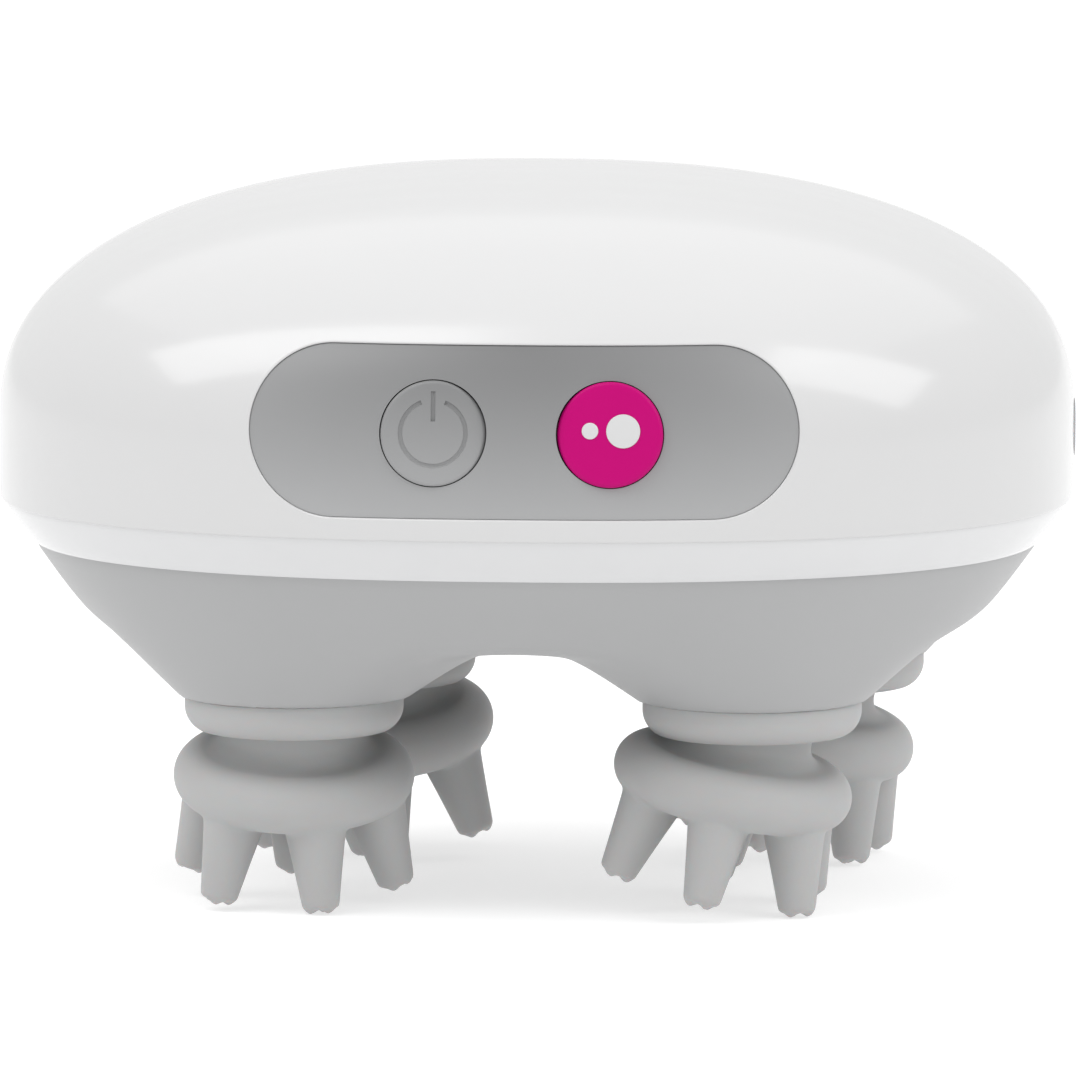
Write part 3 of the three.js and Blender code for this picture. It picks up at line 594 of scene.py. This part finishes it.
def add_top_shell():
    """The domed shell, with a rounded lip round the panel opening and a hole for the port plug."""
    inner = [*dome_rings(WALL, 24)[::-1], *rings_at([(WALL, RIM_Z)])]
    edge = 0.25
    rim = rings_at([(edge - x, z) for x, z in arc((0, RIM_Z + edge), edge, -90, 0, 6)])
    wall_rise = 2.5
    wall = rings_at([(0, RIM_Z + wall_rise * step) for step in (1, 2, 3)])
    shell = loft("shell", [*inner, *rim, *wall, *dome_rings(0, 96)])
    lip_edge = 0.3
    lip_gap = 0.02
    opening = PANEL_RADIUS + lip_gap + lip_edge
    combine(shell, pill_prism(opening), "DIFFERENCE")
    outside = -5
    inside = 9
    radius = PORT_RADIUS + PORT_CLEARANCE
    hole = straight_hole("port_hole", radius, outside, inside, 96, port_place(HALF_WIDTH))
    combine(shell, hole, "DIFFERENCE")
    edge_arc = arc((opening, lip_edge), lip_edge, -90, -180, 6)
    lip = [pill_ring(across, 0, sink) for across, sink in edge_arc]
    lip += [pill_ring(opening - lip_edge, 0, WALL), pill_ring(opening, 0, WALL)]
    shell = joined("top_shell_fine", [shell, loft("lip", lip, closes=True)])
    finish_piece(shell, "white_shell", "root", "top_shell")


def add_trim_band():
    """The sloping band, slightly crowned and with softened edges."""
    top_inset = 0.3
    crown = 0.22
    softened = 0.15
    height = RIM_Z - BAND_FOOT_Z
    steps = 12
    face = []
    for step in range(steps + 1):
        part = step / steps
        inset = BAND_SLOPE_IN - (BAND_SLOPE_IN - top_inset) * part
        inset -= crown * math.sin(math.pi * part)
        if step in (0, steps):
            inset += softened
        face.append((inset, BAND_FOOT_Z + height * part))
    back = [(top_inset + BAND_THICKNESS, RIM_Z), (BAND_SLOPE_IN + BAND_THICKNESS, BAND_FOOT_Z)]
    band = loft("trim_band_fine", rings_at(face + back), closes=True)
    finish_piece(band, "pearl_trim", "root", "trim_band")


def add_lower_shell():
    """The bowl with its arches, flanks and four leg openings."""
    segments = 384
    steps = 130
    first_scale = 0.004
    spacing = 0.9
    scales = [first_scale + (1 - first_scale) * (step / steps) ** spacing for step in range(steps)]

    def outer_z(x, y):
        return LOWER_RIM_Z - lower_depth(x, y)

    def inner_z(x, y):
        return min(LOWER_RIM_Z, outer_z(x, y) + WALL)

    outer = [plan_ring(LOWER_INSET, scale, outer_z, segments) for scale in scales]
    rim_edge = 0.08
    rim_insets = (LOWER_INSET + rim_edge, LOWER_INSET + WALL)
    rim = rings_at([(inset, BAND_FOOT_Z) for inset in rim_insets], segments)
    inner = [plan_ring(LOWER_INSET, scale, inner_z, segments) for scale in scales[:-5:5][::-1]]
    shell = loft("lower_shell_fine", [*outer, *rim, *inner])
    hole_foot = 15
    hole_top = LOWER_RIM_Z - LEG_HOLE_DEPTH
    for x, y in LEG_PLACES.values():
        place = Matrix.Translation((x, y, 0))
        hole = straight_hole("leg_hole", LEG_HOLE_RADIUS, hole_foot, hole_top, 96, place)
        combine(shell, hole, "DIFFERENCE")
    finish_piece(shell, "grey_shell", "root", "lower_shell")


# Controls

def button_place(x, rise=0):
    """A button's place, whose height runs into the casing along the panel's lean."""
    turn = Matrix.Rotation(-math.pi / 2 - BUTTON_LEAN, 4, "X")
    return Matrix.Translation((x, BUTTON_FRONT_Y, PANEL_Z + rise)) @ turn


def centre_x(node_name):
    """The middle of a CAD node from side to side."""
    low, high = box_mm(node_name)
    return (low.x + high.x) / 2


def add_control_panel():
    """The pill-shaped panel: it follows the casing, has a rounded edge and two button holes."""
    edge = 0.12
    reach = PANEL_RADIUS - edge
    steps = 26
    rings = [pill_ring(reach * (step / steps), PANEL_RECESS, 0) for step in range(steps + 1)]
    edge_arc = arc((reach, edge), edge, -75, 0, 5)
    rings += [pill_ring(across, PANEL_RECESS, sink) for across, sink in edge_arc]
    back = WALL - PANEL_RECESS
    back_radii = (PANEL_RADIUS, PANEL_RADIUS / 2, 0)
    rings += [pill_ring(across, PANEL_RECESS, back) for across in back_radii]
    panel = loft("control_panel_fine", rings, caps=False)
    outside = -4
    inside = 7
    radius = BUTTON_RADIUS + BUTTON_CLEARANCE
    for node_name in ("power_button", "mode_button"):
        place = button_place(centre_x(node_name))
        hole = straight_hole("button_hole", radius, outside, inside, 128, place)
        combine(panel, hole, "DIFFERENCE")
    finish_piece(panel, "panel_grey", "root", "control_panel")


def button_profile():
    """A faintly crowned face, a rounded edge, a skirt and the stem that presses the switch."""
    edge = 0.5
    crown = 0.12
    skirt_depth = 3.6
    stem_radius = 2
    stem_depth = 5.1
    steps = 12
    radii = [(BUTTON_RADIUS - edge) * step / steps for step in range(steps + 1)]
    face = [(radius, crown * (radius / BUTTON_RADIUS) ** 2 - crown) for radius in radii]
    edge_arc = arc((BUTTON_RADIUS - edge, edge), edge, -80, 0, 7)
    skirt = [(BUTTON_RADIUS, skirt_depth), (stem_radius, skirt_depth)]
    stem = [(stem_radius, stem_depth), (0, stem_depth)]
    return [*face, *edge_arc, *skirt, *stem]


def swept(name, path, radius, matrix):
    """A round-section groove cutter along a flat path of (x, y) on a button's face."""
    height = -0.1
    sides = 12
    rings = []
    for index, point in enumerate(path):
        before = Vector(path[max(0, index - 1)])
        after = Vector(path[min(len(path) - 1, index + 1)])
        ahead = (after - before).normalized()
        side = Vector((-ahead.y, ahead.x, 0))
        ring = []
        for step in range(sides):
            angle = 2 * math.pi * step / sides
            offset = side * (radius * math.cos(angle)) + Vector((0, 0, radius * math.sin(angle)))
            ring.append(matrix @ (Vector((*point, height)) + offset))
        rings.append(ring)
    return loft(name, rings)


def add_power_button():
    """The grey button, engraved with the usual power mark."""
    place = button_place(centre_x("power_button"))
    button = turned("power_button_fine", button_profile(), 160, place)
    mark_radius = 4.15
    line = 0.3
    ring = arc((0, 0), mark_radius, -69, 249, 96)
    bar = [(0, -5.3), (0, -4), (0, -2.6), (0, -1.5)]
    combine(button, swept("mark_ring", ring, line, place), "DIFFERENCE")
    combine(button, swept("mark_bar", bar, line, place), "DIFFERENCE")
    finish_piece(button, "panel_grey", "power_button", "power_button")


def add_mode_button():
    """The magenta button with its two white dots."""
    place = button_place(centre_x("mode_button"))
    button = turned("mode_button_fine", button_profile(), 160, place)
    finish_piece(button, "magenta", "mode_button", "mode_button")
    edge = 0.08
    face = -0.17
    depth = 0.5
    for node_name, radius in DOT_RADII.items():
        edge_arc = arc((radius - edge, -edge), edge, -90, 0, 4)
        profile = [(0, face), (radius / 2, face), *edge_arc, (radius, depth), (0, depth)]
        place = button_place(centre_x(node_name), DOT_RISE)
        dot = turned(node_name + "_fine", profile, 96, place)
        finish_piece(dot, "white_shell", "mode_button", node_name)


def add_port_plug():
    """The round plug over the charging port, with a dished face and a stub."""
    edge = 0.35
    plate_depth = 2.2
    stub_radius = 1.5
    stub_depth = 3.6
    dish = [(0, 0.22), (1, 0.2), (1.9, 0.12), (2.6, 0.02)]
    edge_arc = arc((PORT_RADIUS - edge, edge), edge, -90, 0, 5)
    plate = [(PORT_RADIUS, plate_depth), (stub_radius, plate_depth)]
    stub = [(stub_radius, stub_depth), (0, stub_depth)]
    plug = turned("port_plug_fine", [*dish, *edge_arc, *plate, *stub], 96, port_place(PORT_FACE_X))
    finish_piece(plug, "silicone", "port_plug", "port_plug")


# Legs and heads

def add_collar(leg):
    """The fixed silicone ring round a leg opening, with a full round lip."""
    x, y = LEG_PLACES[leg]
    low, high = box_mm("collar_" + leg)
    radius = (high.x - low.x) / 2
    top = LOWER_RIM_Z - LEG_DEPTH
    lip = 3.4
    edge = 0.2
    bore = 11.7
    bore_edge = 0.5
    spigot = 12.9
    profile = arc((bore + bore_edge, low.z + 0.8), bore_edge, -180, -110, 5)
    profile += arc((radius - lip, low.z + lip), lip, -62, 0, 14)
    profile += arc((radius - edge, top - edge), edge, 0, 90, 5)
    profile += [(spigot, top), (spigot, high.z), (bore, high.z)]
    collar = turned(f"collar_{leg}_fine", profile, 144, Matrix.Translation((x, y, 0)), closes=True)
    finish_piece(collar, "silicone", "root", "collar_" + leg)


def finger_pieces(matrix):
    """One tapered finger and the three small nubs on its tip."""
    length = FINGER_LENGTH - 0.75
    taper = FINGER_ROOT_RADIUS - FINGER_TIP_RADIUS
    steps = 12
    profile = [(0, FINGER_ROOT_HEIGHT)]
    for step in range(steps + 1):
        part = step / steps
        profile.append((FINGER_ROOT_RADIUS - taper * part ** 0.85, -length * part))
    profile += [(2, -length - 0.3), (0, -length - 0.35)]
    pieces = [turned("finger", profile, 40, matrix)]
    nub_z = -FINGER_LENGTH + 0.7
    nub_top = 1.6
    nub = [(0, nub_top), (NUB_RADIUS, nub_top)]
    nub += [*arc((0, 0), NUB_RADIUS, 0, -80, 6), (0, -NUB_RADIUS)]
    for step in range(NUB_COUNT):
        angle = math.radians(30 + 360 * step / NUB_COUNT)
        offset = (NUB_CIRCLE * math.cos(angle), NUB_CIRCLE * math.sin(angle), nub_z)
        nub_place = matrix @ Matrix.Translation(offset)
        pieces.append(turned("nub", nub, 20, nub_place))
    return pieces


def head_mesh():
    """The silicone head about the vertical axis: neck, ring and fingers run into one soft skin."""
    saddle_x = NECK_RADIUS + SADDLE_RADIUS
    rise = math.sqrt((RING_TUBE + SADDLE_RADIUS) ** 2 - (saddle_x - RING_RADIUS) ** 2)
    bevel = 0.4
    bore = [(0, NECK_FLOOR), (NECK_BORE_RADIUS, NECK_FLOOR), (NECK_BORE_RADIUS, NECK_TOP)]
    rim = [(NECK_RADIUS - bevel, NECK_TOP), (NECK_RADIUS, NECK_TOP - bevel)]
    saddle = arc((saddle_x, rise - RING_DROP), SADDLE_RADIUS, 180, 272, 12)
    ring = arc((RING_RADIUS, -RING_DROP), RING_TUBE, 90, -90, 30)
    profile = [*bore, *rim, *saddle, *ring, (0, -RING_DROP - RING_TUBE)]
    pieces = [turned("body", profile, 160)]
    for step in range(FINGER_COUNT):
        place = Matrix.Rotation(2 * math.pi * step / FINGER_COUNT, 4, "Z")
        place = place @ Matrix.Translation((FINGER_CIRCLE, 0, -RING_DROP - 0.5))
        pieces += finger_pieces(place @ Matrix.Rotation(-FINGER_SPLAY, 4, "Y"))
    pieces += finger_pieces(Matrix.Translation((0, 0, -RING_DROP + 1)))
    head = joined("head", pieces)
    remesh = head.modifiers.new("skin", "REMESH")
    remesh.mode = "VOXEL"
    remesh.voxel_size = 0.3 * MM
    smooth = head.modifiers.new("soften", "SMOOTH")
    smooth.factor = 0.5
    smooth.iterations = 7
    applied(head)
    mesh = head.data
    bpy.data.objects.remove(head)
    return mesh


def add_heads():
    """One skin for the four heads, each leaning its own way on its journal."""
    skin = head_mesh()
    for leg in LEG_NAMES:
        lean = math.radians(LEAN_DEGREES[leg])
        axis = Vector((math.sin(lean), -math.cos(lean), 0))
        place = Matrix.Translation(PIVOTS[leg] * MM) @ Matrix.Rotation(HEAD_TILT, 4, axis)
        mesh = skin.copy()
        mesh.transform(place @ Matrix.Rotation(math.radians(FINGER_DEGREES[leg]), 4, "Z"))
        head = bpy.data.objects.new(f"head_{leg}_fine", mesh)
        bpy.context.scene.collection.objects.link(head)
        finish_piece(head, "silicone", "head_" + leg, "head_" + leg)


def finish_inner_parts():
    """Gives every CAD node that stays the finish of its slot."""
    slots = {part["node"]: part["material_slot"] for part in frame["record"]["subparts"]}
    for name, part in frame["nodes"].items():
        part.data.materials.clear()
        part.data.materials.append(MATERIALS[slots[name]])


add_camera()
add_studio()
add_floor()
MATERIALS = {**make_visible_materials(), **make_inner_materials()}
finish_inner_parts()
add_top_shell()
add_trim_band()
add_lower_shell()
add_control_panel()
add_power_button()
add_mode_button()
add_port_plug()
for leg_name in LEG_NAMES:
    add_collar(leg_name)
add_heads()
